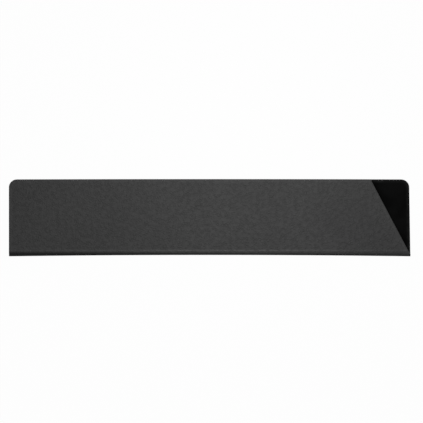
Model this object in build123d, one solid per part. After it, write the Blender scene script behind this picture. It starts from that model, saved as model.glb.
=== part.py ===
from build123d import *
import os
from math import asin, cos, degrees, hypot, radians, sin

# A folding blade guard for a slicing knife. One plastic sheet is folded along two creases into a
# back leaf, a narrow spine and a front leaf. Each leaf holds a row of magnets under a flocked
# lining, and the magnets of the two leaves pull it shut over the blade.
# The guard lies closed on its back leaf. X runs from the tip end to the mouth end, Y from the fold
# to the open edge, Z up through the layers. The origin is under the middle of the back leaf.
# Lengths are in millimetres and angles in degrees.

# Outline of the closed guard, seen from the front
guard_length = 260.0
guard_width = 50.0  # from the fold's nose, at its two ends, to the open edge
corner_radius = 5.2  # outer corners of each leaf on the open edge
open_edge_camber = 0.2  # the open edge stands out this much more at mid-length than at the ends
mouth_lean = 0.8  # the back leaf's mouth end leans in this much at the open edge
cut_length = 26.0  # the front leaf's slanted cut runs back this far along the open edge
cut_foot = 0.8  # the slanted cut reaches the mouth end this far above the nose
cut_corner_radius = 1.6  # blunt corner where the slanted cut meets the open edge

# Layers of one leaf, from the outside in
sheet_thickness = 0.9
carrier_thickness = 1.0
lining_thickness = 0.6
lining_gap = 0.4  # between the two linings while the guard is shut and empty
sheet_edge_radius = 0.5  # outer edges of the sheet, rolled over by the die

# Fold: two creases, a quarter turn apart, leave the spine between them
crease_angle = 45.0  # from each leaf's flat to its crease, round the fold
crease_opening = 90.0  # how far each crease opens, so that both together lay the guard flat
crease_groove = 0.5  # width of the groove that is pressed into the sheet at a crease
web_thickness = 0.3  # skin of the sheet that is left under the groove, and bends
fold_bow = 0.85  # the nose stands out this much more at its two ends than at mid-length
bow_sections = 7

# Lining of each leaf: a flocked tray that holds the carrier and is glued down round it
lining_rim = 0.6  # bare sheet outside the tray on the three free sides
lining_fold_margin = 0.6  # bare sheet between the fold's curl and the tray
lining_edge_radius = 1.0  # the flock rolls over the tray's edge by this much
lining_fold_corner_radius = 1.8  # the tray's two corners beside the fold

# Lining of the spine, where the cutting edge comes to rest
spine_lining_thickness = 0.5
spine_lining_glue = 0.05
spine_lining_spread = 60.0  # from the middle of the spine to either side, round its curve

# Carrier sheet with a pocket for each magnet
carrier_clearance = 0.1  # to the tray's wall
pocket_clearance = 0.1
pocket_corner_radius = 0.9

# Magnets: one row of flat bars in each leaf
magnet_count = 6
magnet_length = 20.0
magnet_width = 10.0
magnet_corner_radius = 0.8
magnet_row_height = 24.0  # from the nose to the middle of the row
magnet_mouth_setback = 36.0  # from the mouth end to the middle of the nearest magnet
magnet_tip_setback = 34.0  # from the tip end to the middle of the nearest magnet

cut_overrun = 2.0  # cutting tools run past what they cut by this much

# Places that follow from the sizes above
leaf_thickness = sheet_thickness + carrier_thickness + lining_thickness
closed_thickness = 2 * leaf_thickness + lining_gap
fold_radius = closed_thickness / 2
fold_inner_radius = fold_radius - sheet_thickness
tip_x = -guard_length / 2
mouth_x = guard_length / 2
nose_y = -guard_width / 2
open_y = guard_width / 2
open_end_y = open_y - open_edge_camber
mid_nose_y = nose_y + fold_bow
fold_y = mid_nose_y + fold_radius  # where the flat of a leaf starts to curl into the fold
mid_z = closed_thickness / 2
lining_y = fold_y + lining_fold_margin
magnet_row_y = nose_y + magnet_row_height
magnet_row_length = guard_length - magnet_mouth_setback - magnet_tip_setback
magnet_pitch = magnet_row_length / (magnet_count - 1)


def ring(radius, angle):
    """Point (y, z) on a circle round the fold's centre line, at an angle from the back leaf's flat."""
    turn = radians(angle)
    return (fold_y - radius * sin(turn), mid_z - radius * cos(turn))


def beside_crease(radius, offset):
    """Point (y, z) on that circle, this far past the back crease's middle plane. A minus sign is
    the leaf's side and a plus sign the spine's."""
    return ring(radius, crease_angle + degrees(asin(offset / radius)))


def on_front(point):
    """The same point on the front half of the fold."""
    y, z = point
    return (y, closed_thickness - z)


def run_along(section):
    """A section drawn as (y, z), run from the tip end to the mouth end."""
    return extrude(Plane.YZ.offset(tip_x) * section, guard_length)


def between(outline, low, high):
    """An outline drawn as (x, y), raised from one height to another."""
    return extrude(Plane.XY.offset(low) * outline, high - low)


def to_front(shape):
    """Moves a piece of a leaf from the back half of the closed guard to the front half."""
    return mirror(shape, about=Plane.XY.offset(mid_z))


def mouth_line_x(y, foot_y, run_per_height, inset):
    """X at a height y on a line that leaves the mouth end at foot_y, leans back by a run per height,
    and is moved in by an inset."""
    return mouth_x - run_per_height * (y - foot_y) - inset * hypot(1, run_per_height)


def back_outline(inset, fold_side_y):
    """The back leaf's outline as (x, y), drawn in by an inset on its three free sides and ended at a
    line beside the fold. The open edge is a parabola of the named camber, between two round
    corners, and the mouth end leans in."""
    lean = mouth_lean / (open_end_y - nose_y)
    top_y = open_end_y - inset
    mouth_foot = (mouth_line_x(fold_side_y, nose_y, lean, inset), fold_side_y)
    mouth_top = (mouth_line_x(top_y, nose_y, lean, inset), top_y)
    tip_top = (tip_x + inset, top_y)
    tip_foot = (tip_x + inset, fold_side_y)
    sides = [
        Line(tip_foot, mouth_foot),
        Line(mouth_foot, mouth_top),
        Bezier(mouth_top, (0, top_y + 2 * open_edge_camber), tip_top),
        Line(tip_top, tip_foot),
    ]
    blank = make_face(sides)
    corners = blank.vertices().group_by(Axis.Y)[-1]
    return fillet(corners, corner_radius - inset)


def front_outline(inset, fold_side_y):
    """The front leaf's outline: the back leaf's with the slanted cut taken off its mouth end."""
    foot_y = nose_y + cut_foot
    slant = cut_length / (open_y - foot_y)
    low_y = foot_y - cut_overrun
    high_y = open_y + cut_overrun
    low = (mouth_line_x(low_y, foot_y, slant, inset), low_y)
    high = (mouth_line_x(high_y, foot_y, slant, inset), high_y)
    waste_x = mouth_x + cut_length
    waste = make_face(Polyline(low, high, (waste_x, high_y), (waste_x, low_y), close=True))
    outline = back_outline(inset, fold_side_y) - waste
    cut_top = (mouth_line_x(open_y - inset, foot_y, slant, inset), open_y - inset)
    corner = outline.vertices().sort_by_distance(cut_top)[0]
    return fillet(corner, cut_corner_radius)


def leaf_panel(outline_at):
    """The leaf's share of the folded sheet: its flat and the curl of the fold up to the crease."""
    outer_end = beside_crease(fold_radius, -crease_groove / 2)
    inner_end = beside_crease(fold_inner_radius, -crease_groove / 2)
    past_open_y = open_y + cut_overrun
    section = make_face(
        [
            Line((past_open_y, 0), (fold_y, 0)),
            ThreePointArc((fold_y, 0), ring(fold_radius, crease_angle / 2), outer_end),
            Line(outer_end, inner_end),
            ThreePointArc(
                inner_end, ring(fold_inner_radius, crease_angle / 2), (fold_y, sheet_thickness)
            ),
            Line((fold_y, sheet_thickness), (past_open_y, sheet_thickness)),
            Line((past_open_y, sheet_thickness), (past_open_y, 0)),
        ]
    )
    panel = run_along(section) & between(outline_at(0, nose_y), 0, closed_thickness)
    flat_face = panel.faces().sort_by(Axis.Z)[0]
    free_edges = flat_face.edges().sort_by(Axis.Y)[1:]
    return fillet(free_edges, sheet_edge_radius)


def crease_web():
    """The thin skin under the back crease's groove, on which the spine turns."""
    half = crease_groove / 2
    web_inner_radius = fold_radius - web_thickness
    outer = [beside_crease(fold_radius, side) for side in (-half, 0, half)]
    inner = [beside_crease(web_inner_radius, side) for side in (half, 0, -half)]
    section = make_face(
        [
            ThreePointArc(*outer),
            Line(outer[-1], inner[0]),
            ThreePointArc(*inner),
            Line(inner[-1], outer[0]),
        ]
    )
    return run_along(section)


def nose_at(x):
    """Where the nose stands (its y) at a place along the guard: a parabola, furthest out at both
    ends."""
    share = x / mouth_x
    return mid_nose_y - fold_bow * share**2


def strip_section(nose):
    """Section of the spine where its nose is at this y: the sheet between the two grooves."""
    outer_edge = beside_crease(fold_radius, crease_groove / 2)
    inner_edge = beside_crease(fold_inner_radius, crease_groove / 2)
    return make_face(
        [
            ThreePointArc(outer_edge, (nose, mid_z), on_front(outer_edge)),
            Line(on_front(outer_edge), on_front(inner_edge)),
            ThreePointArc(on_front(inner_edge), (nose + sheet_thickness, mid_z), inner_edge),
            Line(inner_edge, outer_edge),
        ]
    )


def spine_lining_section(nose):
    """Section of the spine's lining there: a band on the same centre as the spine's inner face."""
    inner_nose = nose + sheet_thickness
    edge_y, edge_z = beside_crease(fold_inner_radius, crease_groove / 2)
    half_chord = mid_z - edge_z
    rise = edge_y - inner_nose
    strip_radius = (half_chord**2 + rise**2) / (2 * rise)
    centre_y = inner_nose + strip_radius
    outer_radius = strip_radius - spine_lining_glue
    inner_radius = outer_radius - spine_lining_thickness
    turn = radians(spine_lining_spread)
    outer_edge = (centre_y - outer_radius * cos(turn), mid_z - outer_radius * sin(turn))
    inner_edge = (centre_y - inner_radius * cos(turn), mid_z - inner_radius * sin(turn))
    return make_face(
        [
            ThreePointArc(outer_edge, (centre_y - outer_radius, mid_z), on_front(outer_edge)),
            Line(on_front(outer_edge), on_front(inner_edge)),
            ThreePointArc(on_front(inner_edge), (centre_y - inner_radius, mid_z), inner_edge),
            Line(inner_edge, outer_edge),
        ]
    )


def bowed(section_at):
    """A piece of the spine, in straight runs between evenly spaced sections that follow the nose's
    bow."""
    spacing = guard_length / (bow_sections - 1)
    places = [tip_x + number * spacing for number in range(bow_sections)]
    return loft([Plane.YZ.offset(x) * section_at(nose_at(x)) for x in places], ruled=True)


def magnet_places():
    """The middle of each magnet as (x, y), the mouth end's first."""
    first_x = mouth_x - magnet_mouth_setback
    return [(first_x - number * magnet_pitch, magnet_row_y) for number in range(magnet_count)]


def leaf_magnets():
    """The row of magnets of the back leaf, each flush with both faces of the carrier."""
    bar = RectangleRounded(magnet_length, magnet_width, magnet_corner_radius)
    return [
        between(Pos(x, y) * bar, sheet_thickness, sheet_thickness + carrier_thickness)
        for x, y in magnet_places()
    ]


def tray_outline(outline_at, depth):
    """The tray's outline, drawn in by a depth on all four sides, with its corners beside the fold
    rounded too."""
    outline = outline_at(lining_rim + depth, lining_y + depth)
    corners = outline.vertices().group_by(Axis.Y)[0]
    return fillet(corners, lining_fold_corner_radius - depth)


def leaf_carrier(outline_at):
    """The sheet between panel and lining, with a pocket right through it for each magnet."""
    shape = tray_outline(outline_at, lining_thickness + carrier_clearance)
    pocket = RectangleRounded(
        magnet_length + 2 * pocket_clearance,
        magnet_width + 2 * pocket_clearance,
        pocket_corner_radius,
    )
    for x, y in magnet_places():
        shape -= Pos(x, y) * pocket
    return between(shape, sheet_thickness, sheet_thickness + carrier_thickness)


def leaf_lining(outline_at):
    """The flocked tray over the carrier, with a rolled edge all round."""
    carrier_top_z = sheet_thickness + carrier_thickness
    tray = between(tray_outline(outline_at, 0), sheet_thickness, leaf_thickness)
    rolled = fillet(tray.faces().sort_by(Axis.Z)[-1].edges(), lining_edge_radius)
    hollow = tray_outline(outline_at, lining_thickness)
    return rolled - between(hollow, sheet_thickness, carrier_top_z)


def leaf_pieces(side, outline_at):
    """Every piece of one leaf by name, in the back leaf's place. outline_at gives the leaf's outline
    at an inset."""
    pieces = {
        f"{side}_panel": leaf_panel(outline_at),
        f"{side}_carrier": leaf_carrier(outline_at),
        f"{side}_lining": leaf_lining(outline_at),
    }
    for number, magnet in enumerate(leaf_magnets(), start=1):
        pieces[f"{side}_magnet_{number}"] = magnet
    return pieces


def make_pieces():
    """Every piece of the guard by name, in place, with the guard shut."""
    pieces = leaf_pieces("back", back_outline)
    for name, piece in leaf_pieces("front", front_outline).items():
        pieces[name] = to_front(piece)
    pieces["spine_strip"] = bowed(strip_section)
    pieces["spine_lining"] = bowed(spine_lining_section)
    pieces["back_crease_web"] = crease_web()
    front_sheet = between(front_outline(0, nose_y), mid_z, closed_thickness)
    pieces["front_crease_web"] = to_front(crease_web()) & front_sheet
    return pieces


os.makedirs("parts", exist_ok=True)
for name, piece in make_pieces().items():
    export_step(piece, f"parts/{name}.step")

# The two hinge lines run along X through the middle of each web
hinge_y, hinge_z = ring(fold_radius - web_thickness / 2, crease_angle)
print(f"back crease at y {hinge_y:.4f}, z {hinge_z:.4f}")
print(f"front crease at y {hinge_y:.4f}, z {closed_thickness - hinge_z:.4f}")
print(f"each crease opens from 0 to {crease_opening:.0f} degrees")
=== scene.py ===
"""Dresses a folding blade guard for a slicing knife and sets it up for its photograph.

The guard is one sheet of grained plastic, folded along two creases into a back leaf, a narrow spine
and a front leaf whose mouth end is cut at a slant. Each leaf holds a row of magnets in a carrier
under a flocked tray. Lengths are in metres: X runs from the tip end to the mouth end, Y from the fold
to the open edge, and Z up through the layers of the shut guard.

The sheet's pieces are drawn on its flat pattern, as it lay before it was folded. There x runs along
the guard, and the height w is y on a leaf's flat and goes on round the fold to the nose. The depth
is measured from the sheet's outer face.
"""
import logging
from dataclasses import dataclass, field
from enum import Enum
from functools import partial, reduce
from math import cos, pi, radians
from typing import Callable, NamedTuple

import bmesh
import bpy
import numpy as np
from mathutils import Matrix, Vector


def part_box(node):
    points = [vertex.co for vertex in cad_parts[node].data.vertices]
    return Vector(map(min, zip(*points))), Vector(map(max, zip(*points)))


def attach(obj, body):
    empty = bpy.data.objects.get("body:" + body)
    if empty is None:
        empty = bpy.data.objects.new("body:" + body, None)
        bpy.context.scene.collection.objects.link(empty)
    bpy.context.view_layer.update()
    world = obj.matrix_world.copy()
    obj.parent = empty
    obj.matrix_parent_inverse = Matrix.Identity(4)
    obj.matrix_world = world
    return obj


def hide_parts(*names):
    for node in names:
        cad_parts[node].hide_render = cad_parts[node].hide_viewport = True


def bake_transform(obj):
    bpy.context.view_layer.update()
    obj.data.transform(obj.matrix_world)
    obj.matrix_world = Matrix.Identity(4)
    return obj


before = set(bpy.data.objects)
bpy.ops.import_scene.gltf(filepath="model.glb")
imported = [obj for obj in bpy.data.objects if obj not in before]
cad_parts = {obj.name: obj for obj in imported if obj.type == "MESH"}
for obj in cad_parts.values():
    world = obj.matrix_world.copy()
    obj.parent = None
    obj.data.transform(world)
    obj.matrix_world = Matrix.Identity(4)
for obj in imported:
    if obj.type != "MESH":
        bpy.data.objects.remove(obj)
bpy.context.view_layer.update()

LOG = logging.getLogger("blade_guard")

MM = 0.001
SHEET_UV = "sheet_uv"  # place on the flat pattern, in metres
RIM = "rim_distance"  # distance in from the nearest free edge, in metres
DEPTH = "sheet_depth"  # depth from the sheet's outer face, in metres
WELD_DISTANCE = 1e-7
SHARP_ANGLE = radians(40)

Array = np.ndarray
Number = Array | float
Place = Callable[[Array, Array, Array], Array]
OnSheet = Callable[[Array, Array], Array]
Material = bpy.types.Material
Object = bpy.types.Object
Outputs = bpy.types.NodeOutputs
Socket = bpy.types.NodeSocket
Term = Socket | float
Colour = tuple[float, float, float, float]


class Side(Enum):
    """The two leaves of the guard."""

    BACK = "back"
    FRONT = "front"

    @property
    def leaf(self) -> str:
        """The body that the leaf's pieces ride on."""
        return f"{self.value}_leaf"


class Slot(Enum):
    """The record's material slots."""

    SHEET = "cover_sheet"
    FLOCK = "flock_lining"
    CARRIER = "carrier_sheet"
    MAGNET = "magnet"


@dataclass(frozen=True)
class GuardShape:
    """Where the folded sheet runs. The fields without a value are read from the frame.

    The fold is half a turn of radius fold_radius about a line at (fold_y, fold_radius). Towards both
    ends the spine bows out of that circle.
    """

    tip_x: float
    mouth_x: float
    nose_y: float
    open_y: float
    thickness: float
    sheet: float
    leaf: float
    lining_base_y: float
    camber: float = 0.2 * MM
    mouth_lean: float = 0.8 * MM
    cut_length: float = 26 * MM
    cut_foot: float = 0.8 * MM
    corner_radius: float = 5.2 * MM
    cut_corner_radius: float = 1.6 * MM
    fold_bow: float = 0.85 * MM
    bow_softness: float = 0.06
    seam_height: float = 0.3 * MM

    @classmethod
    def from_frame(cls) -> "GuardShape":
        """Reads the guard's own places from its CAD nodes.

        Returns:
            The shape.
        """
        strip_low, strip_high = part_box("spine_strip")
        lining_low, lining_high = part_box("back_lining")
        return cls(
            tip_x=strip_low.x,
            mouth_x=strip_high.x,
            nose_y=strip_low.y,
            open_y=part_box("back_panel")[1].y,
            thickness=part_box("front_panel")[1].z,
            sheet=lining_low.z,
            leaf=lining_high.z,
            lining_base_y=lining_low.y,
        )

    @property
    def fold_radius(self) -> float:
        """Radius of the fold's outer face: half the shut guard's thickness."""
        return self.thickness / 2

    @property
    def fold_y(self) -> float:
        """Where a leaf's flat starts to curl."""
        return self.nose_y + self.fold_bow + self.fold_radius

    @property
    def nose_w(self) -> float:
        """Height of the nose on the flat pattern, a quarter turn past the curl's start."""
        return self.fold_y - self.fold_radius * pi / 2

    @property
    def seam_w(self) -> float:
        """Height on the pattern at which a leaf's cover meets its fold skin."""
        return self.fold_y + self.seam_height

    def mouth_line(self, side: Side) -> tuple[float, float]:
        """The mouth end of a leaf: a little off upright on the back leaf, and the slant on the front.

        Args:
            side: The leaf.

        Returns:
            The height y at which the line leaves the mouth end's x, and its run per height.
        """
        if side is Side.FRONT:
            height = self.open_y - self.nose_y - self.cut_foot
            return self.nose_y + self.cut_foot, self.cut_length / height
        return self.nose_y, self.mouth_lean / (self.open_y - self.camber - self.nose_y)

    def curl_turn(self, w: Array) -> Array:
        """Angle round the fold at a height on the pattern, 0 on a leaf's flat."""
        return np.maximum(self.fold_y - w, 0) / self.fold_radius

    def outer_y(self, w: Array) -> Array:
        """Place y of the sheet's outer face: w on the flat, and fold_y less radius x sine of the turn."""
        return np.maximum(w, self.fold_y) - self.fold_radius * np.sin(self.curl_turn(w))

    def mouth_end(self, side: Side, w: Array) -> Array:
        """Place x of a leaf's mouth end: mouth_x less its lean x the height y above the line's foot."""
        foot_y, lean = self.mouth_line(side)
        return self.mouth_x - lean * (self.outer_y(w) - foot_y)

    def bow(self, x: Array, w: Array) -> Array:
        """How far the sheet bows out of the fold's circle, towards -Y.

        The bow grows with the square of the way to either end. Between crease and nose it is minus the
        cosine of twice the turn, the arc through both creases, with its kink at the crease softened.

        Args:
            x: Places along the guard.
            w: Heights on the pattern.

        Returns:
            The distances.
        """
        arc = -np.cos(2 * self.curl_turn(w))
        share = (arc + np.hypot(arc, self.bow_softness)) / 2
        return self.fold_bow * (x / self.mouth_x) ** 2 * share

    def folded(self, side: Side, x: Array, w: Array, depth: Array) -> Array:
        """Folds points of the flat pattern into place.

        On the flat y is w and z is the depth. Past it a point turns about the fold's centre line at
        the radius less its depth: y is fold_y - reach x sine, and z is radius - reach x cosine. The
        front leaf is the mirror image about mid-thickness.

        Args:
            side: Their half of the guard.
            x: Places along the guard.
            w: Heights on the pattern.
            depth: Depths from the sheet's outer face.

        Returns:
            The points, with x, y and z along the last axis.
        """
        turn = self.curl_turn(w)
        reach = self.fold_radius - depth
        y = np.maximum(w, self.fold_y) - reach * np.sin(turn) - self.bow(x, w)
        z = self.fold_radius - reach * np.cos(turn)
        if side is Side.FRONT:
            z = self.thickness - z
        return np.stack([x, y, z], axis=-1)

    def on_sheet(self, side: Side, x: Array, w: Array) -> Array:
        """Where points lie on the unfolded sheet: up from the nose, and the front leaf's down."""
        height = w - self.nose_w
        return np.stack([x, height if side is Side.BACK else -height], axis=-1)


def spread(count: int, both_ends: bool) -> Array:
    """Shares from 0 to 1 that crowd towards both ends, as (1 - cosine) / 2, or towards 1, as a sine."""
    steps = np.linspace(0, 1, count)
    return (1 - np.cos(pi * steps)) / 2 if both_ends else np.sin(pi / 2 * steps)


def corner_arc(corner: Array, before: Array, after: Array, radius: float, count: int) -> Array:
    """Rounds a corner between two straight sides.

    The centre lies on the bisector at radius / sine of the half angle, the ends at radius / tangent of
    it along either side, and the points turn evenly about the centre from one end to the other.

    Args:
        corner: The sharp corner.
        before: A point on the first side.
        after: A point on the next side.
        radius: The arc's radius.
        count: How many points it has.

    Returns:
        The points, of shape (count, 2).
    """
    first = (before - corner) / np.linalg.norm(before - corner)
    second = (after - corner) / np.linalg.norm(after - corner)
    bisector = (first + second) / np.linalg.norm(first + second)
    half = np.arccos(first @ bisector)
    centre = corner + bisector * radius / np.sin(half)
    arm = corner + first * radius / np.tan(half) - centre
    turned_left = np.sign(first[1] * second[0] - first[0] * second[1])
    angles = np.linspace(0, turned_left * (pi - 2 * half), count)
    across = np.array([-arm[1], arm[0]])
    return centre + np.outer(np.cos(angles), arm) + np.outer(np.sin(angles), across)


class Border(NamedTuple):
    """The four sides of an outline on the flat pattern, each an array of (x, w).

    tip and mouth run up from the base, base and free run from the tip end to the mouth end.
    """

    tip: Array
    mouth: Array
    base: Array
    free: Array

    @classmethod
    def between(cls, tip: Array, mouth: Array, columns: int) -> "Border":
        """Joins two ends by straight sides with this many points, which crowd towards both ends."""
        shares = spread(columns, both_ends=True)[:, None]
        return cls(tip, mouth, *(tip[end] + (mouth[end] - tip[end]) * shares for end in (0, -1)))

    def loop(self) -> Array:
        """The whole border as one closed line: up the tip end and round."""
        return np.concatenate([self.tip, self.free[1:], self.mouth[-2::-1], self.base[-2::-1]])

    def filled(self) -> Array:
        """Fills the border with a grid.

        Each point is the mean of the two sides across plus the mean of the two sides along, weighted
        by its shares of the way, less the weighted mean of the four corners, which both hold.

        Returns:
            The grid's points, of shape (rows, columns, 2).
        """
        along = (self.base[:, 0] - self.base[0, 0]) / (self.base[-1, 0] - self.base[0, 0])
        steps = np.linalg.norm(np.diff(self.tip, axis=0), axis=1)
        up = np.concatenate([[0], np.cumsum(steps)]) / steps.sum()
        u, v = along[None, :, None], up[:, None, None]
        across = (1 - v) * self.base[None] + v * self.free[None]
        lengthwise = (1 - u) * self.tip[:, None] + u * self.mouth[:, None]
        low = (1 - u) * self.base[0] + u * self.base[-1]
        high = (1 - u) * self.free[0] + u * self.free[-1]
        return across + lengthwise - (1 - v) * low - v * high


def nearest(first: Array, second: Array, radius: float) -> Array:
    """Distance in from two sides, or in their round corner its radius less the way from its centre."""
    rounded = radius - np.hypot(radius - first, radius - second)
    return np.where((first < radius) & (second < radius), rounded, np.minimum(first, second))


@dataclass(frozen=True)
class PlateOutline:
    """A trapezium with round corners: an upright tip end, a leaning mouth end and a cambered free edge.

    A base that is cut square, with a base_radius of 0, isn't drawn in with the other sides, so that the
    plate next to it still meets it.
    """

    tip_x: float
    mouth_x: float
    base_w: float
    free_w: float
    tip_radius: float
    mouth_radius: float
    mouth_foot_w: float = 0.0
    lean: float = 0.0
    base_radius: float = 0.0
    camber: float = 0.0
    columns: int = 64
    rows: int = 22
    arc_points: int = 10

    def mouth_at(self, w: Number, inset: float) -> Number:
        """Place x of the mouth end: mouth_x less lean x the height above its foot, less the inset in x."""
        return self.mouth_x - self.lean * (w - self.mouth_foot_w) - inset * np.hypot(1, self.lean)

    def lift(self, x: Array) -> Array:
        """How far the free edge rises by its camber, a parabola along x."""
        return self.camber * (1 - (x / self.mouth_x) ** 2)

    def end(self, line: Array, other: Array, inset: float, radius: float) -> Array:
        """One end of the plate: a base corner, a straight run that crowds upwards, and a free corner.

        Args:
            line: The end's sharp corners, at the base and at the free edge.
            other: The other end's.
            inset: How far the outline is drawn in.
            radius: The free corner's radius before that.

        Returns:
            The end's points from the base up.
        """
        foot, top = line
        upper = corner_arc(top, foot, other[1], radius - inset, self.arc_points)
        lower = foot[None]
        if self.base_radius:
            lower = corner_arc(foot, other[0], top, self.base_radius - inset, self.arc_points)
        shares = spread(self.rows, both_ends=bool(self.base_radius))[:, None]
        run = lower[-1] + (upper[0] - lower[-1]) * shares
        return np.concatenate([lower[:-1], run, upper[1:]])

    def border(self, inset: float) -> Border:
        """The plate's sides, lifted towards the free edge by its camber times their share of the height.

        Args:
            inset: How far they are drawn in.

        Returns:
            The sides.
        """
        heights = (self.base_w + (inset if self.base_radius else 0), self.free_w - inset)
        tip_line = np.array([[self.tip_x + inset, w] for w in heights])
        mouth_line = np.array([[self.mouth_at(w, inset), w] for w in heights])
        tip = self.end(tip_line, mouth_line, inset, self.tip_radius)
        mouth = self.end(mouth_line, tip_line, inset, self.mouth_radius)
        sides = []
        for points in Border.between(tip, mouth, self.columns):
            x, w = points[..., 0], points[..., 1]
            risen = w + self.lift(x) * (w - self.base_w) / (self.free_w - self.base_w)
            sides.append(np.stack([x, risen], axis=-1))
        return Border(*sides)

    def rim(self, x: Array, w: Array) -> Array:
        """How far points lie in from the nearest free edge.

        Args:
            x: Places along the plate.
            w: Heights on the pattern.

        Returns:
            The distances.
        """
        from_free = self.free_w + self.lift(x) - w
        from_mouth = (self.mouth_at(w, 0) - x) / np.hypot(1, self.lean)
        distance = np.minimum(
            nearest(x - self.tip_x, from_free, self.tip_radius),
            nearest(from_mouth, from_free, self.mouth_radius),
        )
        return np.minimum(distance, w - self.base_w) if self.base_radius else distance


@dataclass(frozen=True)
class SkinOutline:
    """The stretch of the flat pattern between a cover's seam and the nose.

    Its tip end is upright and its mouth end follows the leaf's mouth line as that is folded round. Both
    are drawn in less and less towards the nose, where the sheet's ends stay crisp.
    """

    shape: GuardShape
    side: Side
    nose_share: float = 0.25
    columns: int = 96
    rows: int = 56

    def kept(self, w: Array) -> Array:
        """Share of an inset that is kept at a height: all of it at the seam, nose_share at the nose."""
        risen = (w - self.shape.nose_w) / (self.shape.seam_w - self.shape.nose_w)
        return self.nose_share + (1 - self.nose_share) * risen

    def slope(self, w: Array) -> Array:
        """Run of the mouth end per height on the pattern: the run per height y x cosine of the turn."""
        return self.shape.mouth_line(self.side)[1] * np.cos(self.shape.curl_turn(w))

    def mouth_at(self, w: Array, inset: float) -> Array:
        """Place x of the mouth end at heights on the pattern, drawn in by an inset."""
        return self.shape.mouth_end(self.side, w) - inset * self.kept(w) * np.hypot(1, self.slope(w))

    def border(self, inset: float) -> Border:
        """The stretch's sides.

        Args:
            inset: How far the two ends are drawn in. The other sides stay.

        Returns:
            The sides.
        """
        w = np.linspace(self.shape.nose_w, self.shape.seam_w, self.rows)
        tip = np.stack([self.shape.tip_x + inset * self.kept(w), w], axis=-1)
        mouth = np.stack([self.mouth_at(w, inset), w], axis=-1)
        return Border.between(tip, mouth, self.columns)

    def rim(self, x: Array, w: Array) -> Array:
        """How far points lie in from the nearer end of the sheet."""
        from_mouth = (self.mouth_at(w, 0) - x) / np.hypot(1, self.slope(w))
        return np.minimum(x - self.shape.tip_x, from_mouth)


Outline = PlateOutline | SkinOutline


class Profile(NamedTuple):
    """Section of a plate's edge, from its face round to its underside."""

    insets: Array
    depths: Array


def quarter(radius: float, steps: int) -> tuple[Array, Array]:
    """A quarter round as two arrays: radius x (1 - sine) inwards, and radius x (1 - cosine) deep."""
    angle = np.linspace(0, pi / 2, steps + 1)
    return radius * (1 - np.sin(angle)), radius * (1 - np.cos(angle))


@dataclass(frozen=True)
class Patch:
    """A grid of points, with their places on the flat pattern and its attributes RIM and DEPTH.

    points has the shape (rows, columns, 3), pattern (rows, columns, 2), rim and depth (rows, columns).
    """

    points: Array
    pattern: Array
    rim: Array
    depth: Array


@dataclass(frozen=True)
class Plate:
    """A thin plate with a shaped edge: two filled faces, and rings of the border between them."""

    outline: Outline
    profile: Profile
    place: Place
    on_sheet: OnSheet
    underside_shift: float = 0.2

    def patches(self) -> list[Patch]:
        """Works out the plate's grids.

        A face is the filled border at its own inset, all at one depth. The rings are the border at
        each inset of the profile, at the profile's depth. On the pattern they run on outwards by the
        length along the profile, so that the grain isn't stretched round the edge.

        Returns:
            The face, the rings and the underside.
        """
        insets, depths = self.profile
        run = np.concatenate([[0], np.cumsum(np.hypot(np.diff(insets), np.diff(depths)))])
        unrolled = insets[0] - run
        loops, flat = (
            np.stack([self.outline.border(inset).loop() for inset in row]) for row in (insets, unrolled)
        )
        x, w = loops[..., 0], loops[..., 1]
        depth_grid = np.broadcast_to(depths[:, None], x.shape)
        pattern = self.on_sheet(flat[..., 0], flat[..., 1])
        rings = Patch(self.place(x, w, depth_grid), pattern, self.outline.rim(x, w), depth_grid)
        underside = self.face(insets[-1], depths[-1], self.underside_shift)
        return [self.face(insets[0], depths[0], 0), rings, underside]

    def face(self, inset: float, depth: float, shift: float) -> Patch:
        """One filled face.

        Args:
            inset: How far its border is drawn in.
            depth: Its depth from the sheet's outer face.
            shift: How far its grain is moved along, so that the two faces differ.

        Returns:
            The face's grid.
        """
        grid = self.outline.border(inset).filled()
        x, w = grid[..., 0], grid[..., 1]
        depths = np.full_like(x, depth)
        points = self.place(x, w, depths)
        return Patch(points, self.on_sheet(x + shift, w), self.outline.rim(x, w), depths)


def linked(name: str, data: bpy.types.ID) -> Object:
    """Makes an object and links it to the scene.

    Args:
        name: Its name.
        data: Its mesh, camera or light.

    Returns:
        The object, at the origin.
    """
    made = bpy.data.objects.new(name, data)
    bpy.context.scene.collection.objects.link(made)
    return made


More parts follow.
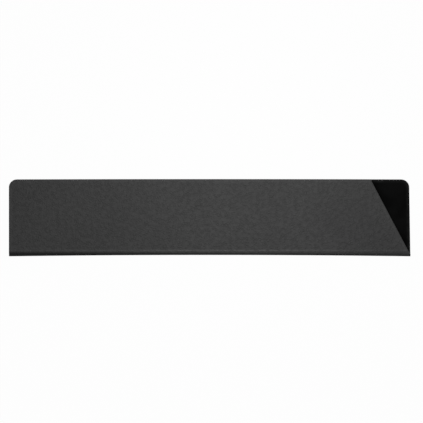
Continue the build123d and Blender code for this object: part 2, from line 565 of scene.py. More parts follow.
def closed_mesh(name: str, patches: list[Patch]) -> Object:
    """Welds patches that share their borders into one closed mesh.

    A quad at row r and column c joins points (r, c), (r, c + 1), (r + 1, c + 1) and (r + 1, c).

    Args:
        name: Name of the piece.
        patches: The grids.

    Returns:
        The piece, with its place in its mesh.
    """
    quads = []
    start = 0
    for patch in patches:
        numbers = start + np.arange(patch.rim.size).reshape(patch.rim.shape)
        corners = [numbers[:-1, :-1], numbers[:-1, 1:], numbers[1:, 1:], numbers[1:, :-1]]
        quads.append(np.stack(corners, axis=-1).reshape(-1, 4))
        start += patch.rim.size
    faces = np.concatenate(quads)
    points = np.concatenate([patch.points.reshape(-1, 3) for patch in patches])
    pattern = np.concatenate([patch.pattern.reshape(-1, 2) for patch in patches])
    mesh = bpy.data.meshes.new(name)
    mesh.from_pydata(points.tolist(), [], faces.tolist())
    mesh.uv_layers.new(name=SHEET_UV).uv.foreach_set("vector", pattern[faces.ravel()].ravel())
    for attribute, grids in ((RIM, [p.rim for p in patches]), (DEPTH, [p.depth for p in patches])):
        values = np.concatenate([grid.ravel() for grid in grids])
        mesh.attributes.new(attribute, "FLOAT", "POINT").data.foreach_set("value", values)
    shell = bmesh.new()
    shell.from_mesh(mesh)
    bmesh.ops.remove_doubles(shell, verts=shell.verts, dist=WELD_DISTANCE)
    bmesh.ops.recalc_face_normals(shell, faces=shell.faces)
    shell.to_mesh(mesh)
    shell.free()
    mesh.shade_smooth()
    mesh.set_sharp_from_angle(angle=SHARP_ANGLE)
    return linked(name, mesh)


def dress(piece: Object, material: Material) -> None:
    """Gives a piece its finish and reports it.

    Args:
        piece: The piece.
        material: Its material, which replaces any that it has.
    """
    piece.data.materials.clear()
    piece.data.materials.append(material)
    LOG.info("%s: %d faces, %s", piece.name, len(piece.data.polygons), material.name)


@dataclass(frozen=True)
class SheetEdge:
    """Edge of the die-cut sheet: rolled over on the outside by the die, nearly sharp inside."""

    rolled: float = 0.5 * MM
    arris: float = 0.08 * MM
    rolled_steps: int = 8
    arris_steps: int = 4

    def profile(self, sheet: float) -> Profile:
        """The edge's section through a sheet of this thickness."""
        outer, inner = quarter(self.rolled, self.rolled_steps), quarter(self.arris, self.arris_steps)
        return Profile(np.append(outer[0], inner[0][::-1]), np.append(outer[1], sheet - inner[1][::-1]))


@dataclass(frozen=True)
class LeafPart:
    """A piece of one half of the guard, drawn on the flat pattern and folded into place."""

    shape: GuardShape
    side: Side
    material: Material

    def place(self, x: Array, w: Array, depth: Array) -> Array:
        """Puts points of the piece in place."""
        return self.shape.folded(self.side, x, w, depth)

    def outline(self, inset: float, base_w: float, **rest: float) -> PlateOutline:
        """A leaf's outline on the flat pattern.

        Args:
            inset: How far it is set back from the edge of the sheet.
            base_w: Height of its base.
            rest: Other fields of the outline.

        Returns:
            The outline.
        """
        foot_y, lean = self.shape.mouth_line(self.side)
        radius = self.shape.corner_radius - inset
        return PlateOutline(
            tip_x=self.shape.tip_x + inset,
            mouth_x=self.shape.mouth_x - inset * np.hypot(1, lean),
            base_w=base_w,
            free_w=self.shape.open_y - self.shape.camber - inset,
            tip_radius=radius,
            mouth_radius=self.shape.cut_corner_radius if self.side is Side.FRONT else radius,
            mouth_foot_w=foot_y,
            lean=lean,
            camber=self.shape.camber,
            **rest,
        )

    def made(self, part: str, outline: Outline, profile: Profile, slot: Slot = Slot.SHEET) -> Object:
        """Makes and dresses the piece.

        Args:
            part: Its name, less the leaf's.
            outline: Its outline.
            profile: The section of its edge.
            slot: Its material slot; not used.

        Returns:
            The piece.
        """
        plate = Plate(outline, profile, self.place, partial(self.shape.on_sheet, self.side))
        piece = closed_mesh(f"{self.side.value}_{part}", plate.patches())
        dress(piece, self.material)
        return piece


@dataclass(frozen=True)
class Cover(LeafPart):
    """The flat of one leaf of the sheet, from its seam up to the open edge."""

    edge: SheetEdge = SheetEdge()

    def build(self) -> None:
        """Makes the cover, which stands for the leaf's panel and rides on the leaf."""
        profile = self.edge.profile(self.shape.sheet)
        piece = self.made("cover", self.outline(0, self.shape.seam_w), profile)
        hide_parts(f"{self.side.value}_panel")
        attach(piece, self.side.leaf)


@dataclass(frozen=True)
class FoldSkin(LeafPart):
    """Half of the fold: a leaf's curl, its crease and half of the spine, bent at the crease.

    Inside, a groove with soft shoulders thins the sheet to its web along the crease.
    """

    edge: SheetEdge = SheetEdge()
    crease_angle: float = radians(45)
    groove_half_width: float = 0.45 * MM
    web: float = 0.3 * MM
    bend_half_length: float = 0.35 * MM

    def place(self, x: Array, w: Array, depth: Array) -> Array:
        """Puts points of the skin in place, with the groove pressed into its inner side.

        Near the crease depths shrink by the groove's share of the sheet times a raised cosine across
        the groove, so that the outer face stays as it is.

        Args:
            x: Places along the guard.
            w: Heights on the pattern.
            depth: Depths from the sheet's outer face.

        Returns:
            The points.
        """
        crease_w = self.shape.fold_y - self.shape.fold_radius * self.crease_angle
        across = np.clip(np.abs(w - crease_w) / self.groove_half_width, 0, 1)
        pressed = (1 - self.web / self.shape.sheet) * (1 + np.cos(pi * across)) / 2
        return self.shape.folded(self.side, x, w, depth * (1 - pressed))

    def build(self) -> None:
        """Makes the skin in its folded place, its transform baked into its mesh."""
        profile = self.edge.profile(self.shape.sheet)
        piece = self.made("fold_skin", SkinOutline(self.shape, self.side), profile)
        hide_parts(f"{self.side.value}_crease_web", "spine_strip")
        towards_nose = Vector((0, -cos(self.crease_angle), cos(self.crease_angle)))
        if self.side is Side.FRONT:
            towards_nose.z = -towards_nose.z
        if self.side is Side.BACK:
            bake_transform(piece)
        else:
            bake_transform(piece)


@dataclass(frozen=True)
class LeafLining(LeafPart):
    """The flocked tray of one leaf: a shallow pan over the carrier, with a rolled edge all round."""

    rim_width: float = 0.6 * MM
    wall: float = 0.6 * MM
    rolled: float = 1.0 * MM
    base_radius: float = 1.8 * MM
    rolled_steps: int = 9
    columns: int = 150
    rows: int = 40
    telling: float = 0.09 * MM
    shoulder: float = 2.4 * MM
    pile_unevenness: float = 0.02 * MM
    pile_wave: float = 17 * MM
    pile_slant: float = 3.0

    @property
    def pan(self) -> float:
        """Depth of the tray's inner face."""
        return self.shape.leaf - self.wall

    def profile(self) -> Profile:
        """Section of the tray's edge: rolled over, down to the sheet, under the wall and up inside.

        Returns:
            The section.
        """
        rolled_in, rolled_deep = quarter(self.rolled, self.rolled_steps)
        foot = self.shape.sheet
        depths = np.append(self.shape.leaf - rolled_deep, [foot, foot, self.pan])
        return Profile(np.append(rolled_in, [0, self.wall, self.wall]), depths)

    def told(self, x: Array, w: Array) -> Array:
        """How much of a magnet's height tells through the flock.

        It is 1 over a magnet's middle and 0 past its shoulder: two smooth steps, across its length and
        its width, multiplied.

        Args:
            x: Places along the guard.
            w: Heights on the pattern.

        Returns:
            The shares.
        """
        most = np.zeros_like(x)
        for name in sorted(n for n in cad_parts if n.startswith(f"{self.side.value}_magnet")):
            low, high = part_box(name)
            share = np.ones_like(x)
            for along, first, last in ((x, low.x, high.x), (w, low.y, high.y)):
                outside = np.maximum(first - along, along - last) / self.shoulder
                step = np.clip((1 - outside) / 2, 0, 1)
                share = share * step * step * (3 - 2 * step)
            most = np.maximum(most, share)
        return most

    def place(self, x: Array, w: Array, depth: Array) -> Array:
        """Puts points of the tray in place, its flock sunk a little between the magnets.

        Only what lies above the pan sinks: by the telling height away from the magnets, and by the
        unevenness of the pile, two crossed slow waves along x and w.

        Args:
            x: Places along the guard.
            w: Heights on the pattern.
            depth: Depths from the sheet's outer face.

        Returns:
            The points.
        """
        above = np.clip((depth - self.pan) / self.wall, 0, 1)
        crossed = w + x / self.pile_slant
        waves = np.sin(x / self.pile_wave * 2 * pi) * np.cos(crossed / self.pile_wave * 2 * pi)
        sunk = self.telling * (1 - self.told(x, w)) + self.pile_unevenness * (1 + waves) / 2
        return self.shape.folded(self.side, x, w, depth - above * sunk)

    def build(self) -> None:
        """Makes the tray, which stands for the leaf's lining and rides on the leaf."""
        grid = {"base_radius": self.base_radius, "columns": self.columns, "rows": self.rows}
        outline = self.outline(self.rim_width, self.shape.lining_base_y, **grid)
        piece = self.made("flock", outline, self.profile(), Slot.FLOCK)
        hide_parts(f"{self.side.value}_lining")
        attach(piece, self.side.leaf)


@dataclass(frozen=True)
class SpineLining:
    """The flocked band inside the spine, where the cutting edge comes to rest.

    It is glued inside the arc through the strip's creases and nose, which has a half chord and a rise.
    """

    shape: GuardShape
    material: Material
    thickness: float = 0.5 * MM
    glue: float = 0.05 * MM
    half_spread: float = radians(60)
    strip_half_chord: float = 1.15 * MM
    strip_rise: float = 0.63 * MM
    rounding: float = 0.22 * MM
    corner_radius: float = 0.4 * MM
    rounding_steps: int = 5
    columns: int = 90
    rows: int = 16
    arc_points: int = 6

    def outer_radius(self, x: Number) -> Number:
        """Radius of the glued face: (half chord squared + rise squared) / (2 x rise), less the glue."""
        rise = self.strip_rise + self.shape.fold_bow * (x / self.shape.mouth_x) ** 2
        return (self.strip_half_chord**2 + rise**2) / (2 * rise) - self.glue

    def place(self, x: Array, w: Array, depth: Array) -> Array:
        """Rolls the band into the spine: w is the length round it, and its depth points inwards.

        The angle is w over the radius at mid-length. y is the centre's y less (radius - depth) x cosine,
        and z is mid-thickness less (radius - depth) x sine.

        Args:
            x: Places along the guard.
            w: Lengths round the band.
            depth: Depths from its glued face.

        Returns:
            The points.
        """
        radius = self.outer_radius(x)
        angle = w / self.outer_radius(0.0)
        nose_y = self.shape.nose_y + self.shape.fold_bow * (1 - (x / self.shape.mouth_x) ** 2)
        centre_y = nose_y + self.shape.sheet + self.glue + radius
        reach = radius - depth
        y = centre_y - reach * np.cos(angle)
        z = self.shape.fold_radius - reach * np.sin(angle)
        return np.stack([x, y, z], axis=-1)

    def build(self) -> None:
        """Makes the band, which stands for the spine's lining and rides on the spine."""
        half_width = self.outer_radius(0.0) * self.half_spread
        outline = PlateOutline(
            tip_x=self.shape.tip_x,
            mouth_x=self.shape.mouth_x,
            base_w=-half_width,
            free_w=half_width,
            tip_radius=self.corner_radius,
            mouth_radius=self.corner_radius,
            base_radius=self.corner_radius,
            columns=self.columns,
            rows=self.rows,
            arc_points=self.arc_points,
        )
        rounded_in, rounded_deep = quarter(self.rounding, self.rounding_steps)
        profile = Profile(np.append(rounded_in, 0), np.append(self.thickness - rounded_deep, 0))
        plate = Plate(outline, profile, self.place, lambda x, w: np.stack([x, w], axis=-1))
        piece = closed_mesh("spine_flock", plate.patches())
        dress(piece, self.material)
        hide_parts("spine_lining")
        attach(piece, "spine")


class NodeBoard:
    """Places shader nodes on one tree and joins them."""

    def __init__(self, tree: bpy.types.NodeTree) -> None:
        """Takes the tree to work on."""
        self.tree = tree

    def add(self, kind: str, inputs: dict | None = None, **settings: object) -> bpy.types.Node:
        """Places a node.

        Args:
            kind: The node's type.
            inputs: Values or output sockets by the name or number of the input that they go to.
            settings: Properties of the node.

        Returns:
            The node.
        """
        node = self.tree.nodes.new(kind)
        for name, value in settings.items():
            setattr(node, name, value)
        for key, value in (inputs or {}).items():
            if isinstance(value, Socket):
                self.tree.links.new(value, node.inputs[key])
            else:
                node.inputs[key].default_value = value
        return node

    def math(self, operation: str, *terms: Term) -> Socket:
        """A Math node's value for an operation on numbers or sockets."""
        return self.add("ShaderNodeMath", dict(enumerate(terms)), operation=operation).outputs[0]

    def product(self, *terms: Term) -> Socket:
        """The terms multiplied with each other."""
        return reduce(partial(self.math, "MULTIPLY"), terms)

    def largest(self, *terms: Term) -> Socket:
        """The largest of the terms."""
        return reduce(partial(self.math, "MAXIMUM"), terms)

    def distance(self, first: Term, second: Term) -> Socket:
        """How far two values lie apart."""
        return self.math("ABSOLUTE", self.math("SUBTRACT", first, second))

    def vectors(self, operation: str, inputs: dict) -> Socket:
        """A Vector Math node's vector."""
        return self.add("ShaderNodeVectorMath", inputs, operation=operation).outputs["Vector"]

    def ramp(self, value: Term, low: float, high: float, start: float, end: float) -> Socket:
        """A value mapped smoothly from low..high to start..end, and clamped at both ends."""
        places = {"Value": value, "From Min": low, "From Max": high, "To Min": start, "To Max": end}
        return self.add("ShaderNodeMapRange", places, interpolation_type="SMOOTHSTEP").outputs["Result"]

    def layered(self, colour: Colour, *layers: tuple[Term, Colour]) -> Socket:
        """Lays colours over a first one.

        Args:
            colour: The first colour.
            layers: The share and the colour of each layer, from the lowest up.

        Returns:
            The colour of them all.
        """
        share_input, below_input, above_input, colour_output = 0, 6, 7, 2
        for share, above in layers:
            inputs = {share_input: share, below_input: colour, above_input: above}
            colour = self.add("ShaderNodeMix", inputs, data_type="RGBA").outputs[colour_output]
        return colour

    def noise(self, place: Socket, scale: Term, detail: float = 2.0, roughness: float = 0.5) -> Outputs:
        """A Noise Texture's value and colour."""
        inputs = {"Vector": place, "Scale": scale, "Detail": detail, "Roughness": roughness}
        return self.add("ShaderNodeTexNoise", inputs).outputs

    def attribute(self, name: str) -> Socket:
        """One of the piece's own attributes."""
        return self.add("ShaderNodeAttribute", attribute_name=name).outputs["Fac"]

    def pattern(self) -> Socket:
        """The place on the flat pattern."""
        return self.add("ShaderNodeUVMap", uv_map=SHEET_UV).outputs["UV"]


class EffectGroup:
    """A node group for an effect that several materials use, built once."""

    name = "Effect"
    inputs: dict[str, float | None] = {}
    outputs: tuple[str, ...] = ()

    def __init__(self) -> None:
        """Makes the group's sockets and lets the effect fill it in. An input of None is a vector."""
        self.tree = bpy.data.node_groups.new(self.name, "ShaderNodeTree")
        for name, value in self.inputs.items():
            kind = "NodeSocketVector" if value is None else "NodeSocketFloat"
            socket = self.tree.interface.new_socket(name=name, in_out="INPUT", socket_type=kind)
            if value is not None:
                socket.default_value = value
        for name in self.outputs:
            self.tree.interface.new_socket(name=name, in_out="OUTPUT", socket_type="NodeSocketFloat")
        board = NodeBoard(self.tree)
        taken = board.add("NodeGroupInput").outputs
        board.add("NodeGroupOutput", self.fill(board, taken))

    def fill(self, board: NodeBoard, taken: Outputs) -> dict[str, Socket]:
        """Builds the effect.

        Args:
            board: The group's board.
            taken: The group's inputs.

        Returns:
            The socket of each output by name.
        """
        raise NotImplementedError

    def placed(self, board: NodeBoard, **inputs: Term) -> Outputs:
        """The outputs of the group, placed in a material with these inputs."""
        return board.add("ShaderNodeGroup", inputs, node_tree=self.tree).outputs


class MouldedGrain(EffectGroup):
    """Leather grain as moulded into sheet: uneven rounded cells between creases, under a fine sand.

    Height is 1 on the cells. Crease is up to 1 along their borders, where they are deep.
    """

    name = "Moulded grain"
    inputs = {"Vector": None, "Cell": 1.5 * MM, "Sand": 0.35 * MM}
    outputs = ("Height", "Crease")
    warp = 0.8
    warp_frequency = 0.6
    noise_middle = (0.5, 0.5, 0.5)
    crease_width = 0.32
    shallow = 0.3
    shallow_low = 0.38
    shallow_high = 0.6
    sand_share = 0.15
    sand_detail = 3.0
    sand_roughness = 0.6

    def fill(self, board: NodeBoard, taken: Outputs) -> dict[str, Socket]:
        """Builds the grain out of warped cells and a fine noise.

        Crease falls with the distance from the cells' borders, times a ramp of the warp's own noise.
        Height is one less Crease, mixed with the fine noise.

        Args:
            board: The group's board.
            taken: The group's inputs.

        Returns:
            The socket of each output by name.
        """
        cell_scale, sand_scale = (board.math("DIVIDE", 1, taken[size]) for size in ("Cell", "Sand"))
        noise = board.noise(taken["Vector"], board.product(cell_scale, self.warp_frequency))
        centred = board.vectors("SUBTRACT", {0: noise["Color"], 1: self.noise_middle})
        reach = board.product(taken["Cell"], self.warp)
        moved = board.vectors("SCALE", {0: centred, "Scale": reach})
        warped = board.vectors("ADD", {0: taken["Vector"], 1: moved})
        places = {"Vector": warped, "Scale": cell_scale}
        cells = board.add("ShaderNodeTexVoronoi", places, feature="DISTANCE_TO_EDGE")
        border = board.ramp(cells.outputs["Distance"], 0, self.crease_width, 1, 0)
        deep = board.ramp(noise["Fac"], self.shallow_low, self.shallow_high, self.shallow, 1)
        crease = board.product(border, deep)
        sand = board.noise(taken["Vector"], sand_scale, self.sand_detail, self.sand_roughness)["Fac"]
        coarse = board.product(board.math("SUBTRACT", 1, crease), 1 - self.sand_share)
        fine = board.product(sand, self.sand_share)
        return {"Height": board.math("ADD", coarse, fine), "Crease": crease}


class ToneDrift(EffectGroup):
    """Slow cloudiness of a surface, from 0 to 1."""

    name = "Tone drift"
    inputs = {"Vector": None, "Size": 40 * MM}
    outputs = ("Drift",)
    detail = 3.0
    low = 0.3
    high = 0.7

    def fill(self, board: NodeBoard, taken: Outputs) -> dict[str, Socket]:
        """A noise at one over the size, stretched to the whole range."""
        noise = board.noise(taken["Vector"], board.math("DIVIDE", 1, taken["Size"]), self.detail)
        return {"Drift": board.ramp(noise["Fac"], self.low, self.high, 0, 1)}


class PaintedLine(EffectGroup):
    """Painted light along a line where a distance equals the shoulder's, fading to both sides."""

    name = "Edge wear"
    inputs = {"Vector": None, "Distance": 0.0, "Shoulder": 0.0, "Width": 0.8 * MM, "Patches": 4 * MM}
    outputs = ("Wear",)
    broken_low = 0.35
    broken_high = 0.65
    least = 0.35

    def fill(self, board: NodeBoard, taken: Outputs) -> dict[str, Socket]:
        """A smooth fall over the width to both sides of the line, times a patchy noise.

        Args:
            board: The group's board.
            taken: The group's inputs.

        Returns:
            The socket of each output by name.
        """
        away = board.distance(taken["Distance"], taken["Shoulder"])
        near = board.ramp(board.math("DIVIDE", away, taken["Width"]), 0, 1, 1, 0)
        noise = board.noise(taken["Vector"], board.math("DIVIDE", 1, taken["Patches"]))["Fac"]
        patchy = board.ramp(noise, self.broken_low, self.broken_high, self.least, 1)
        return {"Wear": board.product(near, patchy)}


class FibrePile(EffectGroup):
    """Short fibres standing in clumps. Height is 1 at their tips, and Nap is how they are brushed."""

    name = "Fibre pile"
    inputs = {"Vector": None, "Fibre": 0.12 * MM, "Clump": 0.9 * MM, "Brushing": 14 * MM}
    outputs = ("Height", "Nap")
    details = {"Fibre": 4.0, "Clump": 2.0, "Brushing": 2.0}
    clump_share = 0.45
    nap_low = 0.35
    nap_high = 0.65

    def fill(self, board: NodeBoard, taken: Outputs) -> dict[str, Socket]:
        """Three noises, at one over the sizes of a fibre, a clump and a brushed patch. Height mixes two.

        Args:
            board: The group's board.
            taken: The group's inputs.

        Returns:
            The socket of each output by name.
        """
        fibre, clump, brushing = (
            board.noise(taken["Vector"], board.math("DIVIDE", 1, taken[size]), detail)["Fac"]
            for size, detail in self.details.items()
        )
        fibres = board.product(fibre, 1 - self.clump_share)
        height = board.math("ADD", board.product(clump, self.clump_share), fibres)
        return {"Height": height, "Nap": board.ramp(brushing, self.nap_low, self.nap_high, 0, 1)}


@dataclass
class Effects:
    """The node groups that the materials share."""

    grain: MouldedGrain = field(default_factory=MouldedGrain)
    drift: ToneDrift = field(default_factory=ToneDrift)
    wear: PaintedLine = field(default_factory=PaintedLine)
    pile: FibrePile = field(default_factory=FibrePile)


def new_material(name: str) -> tuple[Material, NodeBoard]:
    """Makes an empty material.

    Args:
        name: Its name.

    Returns:
        The material and a board for its tree.
    """
    material = bpy.data.materials.new(name)
    material.use_nodes = True
    material.node_tree.nodes.clear()
    return material, NodeBoard(material.node_tree)


def grey(level: float, warmth: float = 0.0) -> Colour:
    """A grey as a linear colour, its red raised and its blue lowered by a share."""
    return (level * (1 + warmth), level, level * (1 - warmth), 1.0)


def surfaced(board: NodeBoard, inputs: dict, height: Socket, relief: float, kept: Term = 1.0) -> None:
    """Ends a material in a Principled BSDF under a bump.

    Args:
        board: The material's board.
        inputs: The shader's inputs, less its normal.
        height: The bump's height, up to 1.
        relief: The length that a height of 1 stands for.
        kept: The share of the bump that is kept.
    """
    bump = board.add("ShaderNodeBump", {"Height": height, "Distance": relief, "Strength": kept})
    shader = board.add("ShaderNodeBsdfPrincipled", inputs | {"Normal": bump.outputs["Normal"]})
    board.add("ShaderNodeOutputMaterial", {"Surface": shader.outputs[0]})


@dataclass(frozen=True)
class SheetFinish:
    """Dark grey plastic sheet with a fine moulded leather grain, matt.

    It carries a painted highlight, a little paler, along its shoulders, the lines where its free edges
    and its fold start to turn down, strongest along the fold near one place along the guard. It carries
    painted shade round the fold, reaching further towards the tip end, and painted shade that makes it
    near-black inside; the grain's creases carry painted shade too. The grain's relief is flattened
    towards the edges and round the fold, and the inside is smooth.
    """

    fold_height: float  # height above the nose at which the fold starts, on the flat pattern
    name: str = "grained_sheet"
    tone: float = 0.052
    cloudy_tone: float = 0.059
    mottled_tone: float = 0.0428
    # painted shade in the grain's creases
    crease_tone: float = 0.0355
    # painted highlight along the shoulders of the free edges and the fold
    rubbed_tone: float = 0.085
    # painted shade round the fold, darkest towards the nose
    spine_tone: float = 0.012
    # painted shade that makes the sheet's inner side near-black
    inner_tone: float = 0.01
    sheet: float = 0.9 * MM
    # where the painted shade round the fold fades out, how far down it reaches, and how it leans to reach
    # further up towards the tip end
    spine_start: float = 0.6 * MM
    spine_reach: float = 3.0 * MM
    spine_lean: float = 0.006
    cloud: float = 45 * MM
    mottle: float = 3.2 * MM
    mottle_strength: float = 0.5
    # share of the painted shade in the grain's creases
    crease_strength: float = 0.12
    # strengths of the painted highlight along the edge shoulders and along the fold
    edge_wear: float = 0.22
    fold_wear: float = 1.0
    # the painted highlight along the fold is strongest at this x and falls to a share of it over this
    # reach
    held_x: float = 13 * MM
    held_reach: float = 120 * MM
    held_least: float = 0.3
    edge_shoulder: float = 1.5 * MM
    fold_shoulder: float = 0.3 * MM
    shoulder_width: float = 0.9 * MM
    roughness_cell: float = 0.68
    roughness_crease: float = 0.8
    relief: float = 0.32 * MM
    edge_relief: float = 0.3
    fold_relief: float = 0.45
    specular: float = 0.1

    def material(self, effects: Effects) -> Material:
        """Builds the material on the flat pattern, so that the grain runs on round the fold.

        Args:
            effects: The shared node groups.

        Returns:
            The material.
        """
        material, board = new_material(self.name)
        pattern, rim, depth = board.pattern(), board.attribute(RIM), board.attribute(DEPTH)
        place = board.add("ShaderNodeSeparateXYZ", {0: pattern}).outputs
        along, height = place["X"], board.math("ABSOLUTE", place["Y"])
        grain = effects.grain.placed(board, Vector=pattern)
        cloud, mottle = (
            effects.drift.placed(board, Vector=pattern, Size=size)["Drift"]
            for size in (self.cloud, self.mottle)
        )
        shoulders = ((rim, self.edge_shoulder), (height, self.fold_height + self.fold_shoulder))
        at_edge, at_fold = (
            effects.wear.placed(
                board, Vector=pattern, Distance=distance, Shoulder=shoulder, Width=self.shoulder_width
            )["Wear"]
            for distance, shoulder in shoulders
        )
        # painted highlight along the shoulders: along the fold strongest near one x, along the edges even
        from_highlight_middle = board.distance(along, self.held_x)
        fold_highlight_share = board.ramp(from_highlight_middle, 0, self.held_reach, self.fold_wear, self.fold_wear * self.held_least)
        highlight_share = board.largest(board.product(at_edge, self.edge_wear), board.product(at_fold, fold_highlight_share))
        # painted shade round the fold: full towards the nose, fading out just below the fold's start,
        # further up towards the tip end
        leaning = board.math("ADD", height, board.product(along, self.spine_lean))
        fold_shade_top = self.fold_height - self.spine_start
        turned = board.ramp(leaning, self.fold_height - self.spine_reach, fold_shade_top, 1, 0)
        inner = board.ramp(depth, self.sheet / 2, self.sheet, 0, 1)
        colour = board.layered(
            grey(self.tone),
            (cloud, grey(self.cloudy_tone)),
            (board.product(mottle, self.mottle_strength), grey(self.mottled_tone)),
            # painted shade in the grain's creases
            (board.product(grain["Crease"], self.crease_strength), grey(self.crease_tone)),
            # painted highlight along the shoulders
            (highlight_share, grey(self.rubbed_tone)),
            # painted shade round the fold
            (turned, grey(self.spine_tone)),
            # painted shade that makes the inner side near-black
            (inner, grey(self.inner_tone)),
        )
        at_rim = board.ramp(rim, 0, self.edge_shoulder, self.edge_relief, 1)
        round_fold = board.ramp(turned, 0, 1, 1, self.fold_relief)
        kept = board.product(at_rim, round_fold, board.math("SUBTRACT", 1, inner))
        inputs = {
            "Base Color": colour,
            "Roughness": board.ramp(grain["Crease"], 0, 1, self.roughness_cell, self.roughness_crease),
            "Specular IOR Level": self.specular,
        }
        surfaced(board, inputs, grain["Height"], self.relief, kept)
        return material


@dataclass(frozen=True)
class FlockFinish:
    """Near-black flock: upright fibres, matt face on, with a painted sheen along its edges, and paler from
    the side.
    """

    name: str = "black_flock"
    tone: float = 0.003
    brushed_tone: float = 0.0048
    # painted sheen along the flock's edges, and the width it fades over
    crushed_tone: float = 0.015
    crushed_width: float = 2.2 * MM
    relief: float = 0.12 * MM
    roughness: float = 1.0
    specular: float = 0.0
    sheen: float = 0.2
    sheen_roughness: float = 0.45
    sheen_tone: float = 0.35

    def material(self, effects: Effects) -> Material:
        """Builds the material on the flat pattern.

        Args:
            effects: The shared node groups.

        Returns:
            The material.
        """
        material, board = new_material(self.name)
        pattern, rim = board.pattern(), board.attribute(RIM)
        pile = effects.pile.placed(board, Vector=pattern)
        # painted sheen along the edges
        edge_sheen = effects.wear.placed(board, Vector=pattern, Distance=rim, Width=self.crushed_width)
        layers = ((pile["Nap"], grey(self.brushed_tone)), (edge_sheen["Wear"], grey(self.crushed_tone)))
        inputs = {
            "Base Color": board.layered(grey(self.tone), *layers),
            "Roughness": self.roughness,
            "Specular IOR Level": self.specular,
            "Sheen Weight": self.sheen,
            "Sheen Roughness": self.sheen_roughness,
            "Sheen Tint": grey(self.sheen_tone),
        }
        surfaced(board, inputs, pile["Height"], self.relief)
        return material


@dataclass(frozen=True)
class CarrierFinish:
    """Black foam rubber sheet, die-cut: fine closed pores and a dull skin, dusty in places."""

    name: str = "foam_carrier"
    tone: float = 0.018
    dusty_tone: float = 0.0234
    dusty_warmth: float = 0.04
    dust: float = 12 * MM
    # painted shade in the pores
    pore_tone: float = 0.008
    cell: float = 0.45 * MM
    sand: float = 0.15 * MM
    relief: float = 0.05 * MM
    roughness: float = 0.85

    def material(self, effects: Effects) -> Material:
        """Builds the material on the carrier's own place.

        Args:
            effects: The shared node groups.

        Returns:
            The material.
        """
        material, board = new_material(self.name)
        place = board.add("ShaderNodeTexCoord").outputs["Object"]
        pores = effects.grain.placed(board, Vector=place, Cell=self.cell, Sand=self.sand)
        dust = effects.drift.placed(board, Vector=place, Size=self.dust)["Drift"]
        dusty = (dust, grey(self.dusty_tone, self.dusty_warmth))
        # painted shade in the pores
        colour = board.layered(grey(self.tone), dusty, (pores["Crease"], grey(self.pore_tone)))
        inputs = {"Base Color": colour, "Roughness": self.roughness}
        surfaced(board, inputs, pores["Height"], self.relief)
        return material


@dataclass(frozen=True)
class MagnetFinish:
    """Nickel-plated magnet: bright, drawn faintly along its length and clouded by handling."""

    name: str = "nickel_magnet"
    tone: float = 0.55
    clouded_tone: float = 0.42
    warmth: float = 0.03
    metallic: float = 1.0
    bright_roughness: float = 0.22
    dull_roughness: float = 0.42
    cloud: float = 6 * MM
    line_size: float = 0.12 * MM
    line_length: float = 30.0
    line_detail: float = 3.0
    relief: float = 0.002 * MM

    def material(self, effects: Effects) -> Material:
        """Builds the material on the magnet's own place.

        Args:
            effects: The shared node groups.

        Returns:
            The material.
        """
        material, board = new_material(self.name)
        place = board.add("ShaderNodeTexCoord").outputs["Object"]
        drawn = board.add("ShaderNodeMapping", {"Vector": place, "Scale": (1 / self.line_length, 1, 1)})
        lines = board.noise(drawn.outputs["Vector"], 1 / self.line_size, self.line_detail)["Fac"]
        cloud = effects.drift.placed(board, Vector=place, Size=self.cloud)["Drift"]
        bright, clouded = grey(self.tone, self.warmth), grey(self.clouded_tone, self.warmth)
        inputs = {
            "Base Color": board.layered(bright, (cloud, clouded)),
            "Metallic": self.metallic,
            "Roughness": board.ramp(cloud, 0, 1, self.bright_roughness, self.dull_roughness),
        }
        surfaced(board, inputs, lines, self.relief)
        return material


@dataclass(frozen=True)
class CarriedParts:
    """The carriers and magnets, whose CAD shapes stay and get their finishes."""

    finishes: dict[str, tuple[Material, Slot]]

    def dress(self) -> None:
        """Gives each CAD node that is kept the material whose key its name holds."""
        for name, node in sorted(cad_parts.items()):
            for key, (material, slot) in self.finishes.items():
                if key in name:
                    dress(node, material)


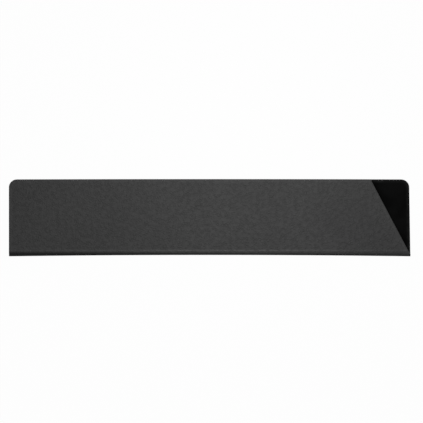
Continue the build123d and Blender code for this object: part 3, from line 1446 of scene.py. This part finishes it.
@dataclass(frozen=True)
class Studio:
    """A pale floor under soft light, and a long lens straight above the guard.

    The camera, and glossy and transmitted rays with it, see floor and surroundings as plain white. The
    floor keeps a share of its own shading, and with it the guard's shadow. From below it is clear.
    """

    shape: GuardShape
    picture_pixels: int = 423
    photo_left_pixel: float = 8.85
    photo_nose_pixel: float = 256.35
    photo_length_pixels: float = 401.8
    lens: float = 400.0
    sensor: float = 36.0
    white: float = 1.0
    floor_half_size: float = 1.5
    floor_clearance: float = 0.02 * MM
    floor_tone: float = 0.6
    floor_shading: float = 0.022
    fill: float = 0.35
    key_share: float = 0.6
    key_size: float = 0.1
    key_x: float = 28 * MM
    key_y: float = 89 * MM
    key_z: float = 200 * MM

    def add_camera(self) -> None:
        """Hangs the camera straight above the picture's middle.

        The photograph gives the scale: the guard's length over its length in pixels. The height is the
        width that the picture covers times lens over sensor.
        """
        metres_per_pixel = (self.shape.mouth_x - self.shape.tip_x) / self.photo_length_pixels
        middle = self.picture_pixels / 2
        view_width = self.picture_pixels * metres_per_pixel
        data = bpy.data.cameras.new("portrait")
        data.lens = self.lens
        data.sensor_width = self.sensor
        camera = linked("portrait", data)
        camera.location = (
            self.shape.tip_x + (middle - self.photo_left_pixel) * metres_per_pixel,
            self.shape.nose_y + (self.photo_nose_pixel - middle) * metres_per_pixel,
            self.shape.thickness + view_width * self.lens / self.sensor,
        )
        bpy.context.scene.camera = camera

    def seen_white(self, board: NodeBoard) -> Socket:
        """1 for camera, glossy and transmitted rays, and 0 for others."""
        path = board.add("ShaderNodeLightPath").outputs
        return board.largest(*(path[f"Is {kind} Ray"] for kind in ("Camera", "Glossy", "Transmission")))

    def add_floor(self) -> None:
        """Lays the floor under the guard, a hair below its underside."""
        half, low = self.floor_half_size, -self.floor_clearance
        corners = [(-half, -half, low), (half, -half, low), (half, half, low), (-half, half, low)]
        mesh = bpy.data.meshes.new("floor")
        mesh.from_pydata(corners, [], [(0, 1, 2, 3)])
        material, board = new_material("pale_floor")
        pale = board.add("ShaderNodeBsdfDiffuse", {"Color": grey(self.floor_tone)})
        white = board.add("ShaderNodeEmission", {"Color": grey(self.white)})
        share = board.product(self.seen_white(board), 1 - self.floor_shading)
        mixed = board.add("ShaderNodeMixShader", {0: share, 1: pale.outputs[0], 2: white.outputs[0]})
        below = board.add("ShaderNodeNewGeometry").outputs["Backfacing"]
        clear = board.add("ShaderNodeBsdfTransparent")
        sided = board.add("ShaderNodeMixShader", {0: below, 1: mixed.outputs[0], 2: clear.outputs[0]})
        board.add("ShaderNodeOutputMaterial", {"Surface": sided.outputs[0]})
        mesh.materials.append(material)
        floor = linked("floor", mesh)

    def add_surroundings(self) -> None:
        """Fills the room with even light, white where it is seen."""
        world = bpy.data.worlds.new("studio")
        world.use_nodes = True
        world.node_tree.nodes.clear()
        board = NodeBoard(world.node_tree)
        strength = board.ramp(self.seen_white(board), 0, 1, self.fill, 1)
        light = board.add("ShaderNodeBackground", {"Color": grey(self.white), "Strength": strength})
        board.add("ShaderNodeOutputWorld", {"Surface": light.outputs[0]})
        bpy.context.scene.world = world

    def add_key(self) -> None:
        """Hangs the soft key light past the open edge, turned towards the guard's middle.

        Its power gives key_share of full light there: share x pi squared x distance cubed / height.
        """
        place = Vector((self.key_x, self.key_y, self.key_z))
        data = bpy.data.lights.new("key", "AREA")
        data.shape = "DISK"
        data.size = self.key_size
        data.energy = self.key_share * pi**2 * place.length**3 / place.z
        lamp = linked("key", data)
        lamp.location = place
        lamp.rotation_euler = place.to_track_quat("Z", "Y").to_euler()
        lamp.visible_camera = False

    def build(self) -> None:
        """Sets up floor, light and camera."""
        bpy.context.scene.view_settings.view_transform = "Standard"
        self.add_floor()
        self.add_surroundings()
        self.add_key()
        self.add_camera()
        LOG.info("studio ready")


def main() -> None:
    """Builds the guard from the fold outwards, dresses the parts inside it and sets up the studio."""
    logging.basicConfig(level=logging.INFO, format="%(message)s")
    shape = GuardShape.from_frame()
    effects = Effects()
    sheet = SheetFinish(shape.fold_y - shape.nose_w).material(effects)
    flock = FlockFinish().material(effects)
    for side in Side:
        Cover(shape, side, sheet).build()
        FoldSkin(shape, side, sheet).build()
        LeafLining(shape, side, flock).build()
    SpineLining(shape, flock).build()
    finishes = {
        "carrier": (CarrierFinish().material(effects), Slot.CARRIER),
        "magnet": (MagnetFinish().material(effects), Slot.MAGNET),
    }
    CarriedParts(finishes).dress()
    Studio(shape).build()


if __name__ == "__main__":
    main()
